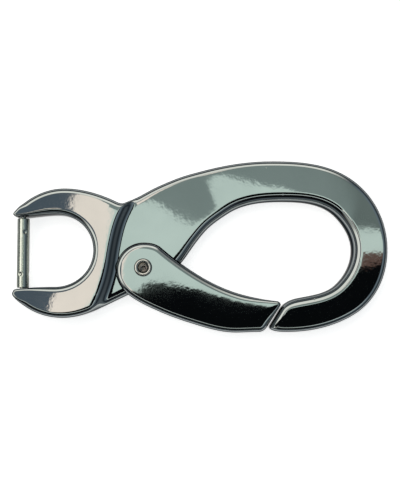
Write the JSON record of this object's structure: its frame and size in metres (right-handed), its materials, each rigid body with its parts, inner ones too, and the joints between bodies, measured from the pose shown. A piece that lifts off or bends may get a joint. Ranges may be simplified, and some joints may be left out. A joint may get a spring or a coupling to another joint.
{
  "type": "strap snap hook",
  "caption": "Small plated snap hook for a narrow strap, with a sprung gate that opens inwards and a spring bar across a yoke.",
  "frame": {"origin": "centre of the bounding box, on the back face that the hook lies on", "axes": "+X along the hook from the yoke to the hook ring, +Y across it towards the closed side of the ring, +Z out of the front face, where the rivet's rolled end is"},
  "size_m": [0.0604, 0.0278, 0.0052],
  "materials": {
    "cast_hook": "polished zinc die-casting with a dark bright plating",
    "cast_gate": "polished zinc die-casting with a dark bright plating",
    "rivet": "nickel-plated steel, rolled end",
    "spring_wire": "drawn spring wire",
    "bar": "drawn stainless tube",
    "bar_tips": "turned stainless steel"
  },
  "bodies": {
    "hook": {"hook_body": "cast_hook", "gate_spring": "spring_wire"},
    "gate": {"gate": "cast_gate", "pivot_rivet": "rivet"},
    "bar": {"bar_tube": "bar", "bar_spring": "spring_wire"},
    "tip_upper": {"bar_tip_upper": "bar_tips"},
    "tip_lower": {"bar_tip_lower": "bar_tips"}
  },
  "joints": [
    {"name": "gate_hinge", "type": "hinge", "parent": "hook", "child": "gate", "pos_m": [-0.0092, -0.0034, 0.0025], "axis": [0, 0, 1], "range_deg": [0, 32], "stiffness_Nm_per_rad": 0.0078, "springref_deg": -36.67, "deforming": ["gate_spring"]},
    {"name": "bar_spin", "type": "hinge", "parent": "hook", "child": "bar", "pos_m": [-0.02885, -0.00097, 0.0025], "axis": [0, 1, 0], "continuous": true},
    {"name": "tip_upper_slide", "type": "slide", "parent": "bar", "child": "tip_upper", "axis": [0, -1, 0], "range_m": [0, 0.001], "stiffness_N_per_m": 300, "springref_m": -0.003, "deforming": ["bar_spring"]},
    {"name": "tip_lower_slide", "type": "slide", "parent": "bar", "child": "tip_lower", "axis": [0, 1, 0], "range_m": [0, 0.001], "stiffness_N_per_m": 300, "springref_m": -0.003, "deforming": ["bar_spring"]}
  ]
}
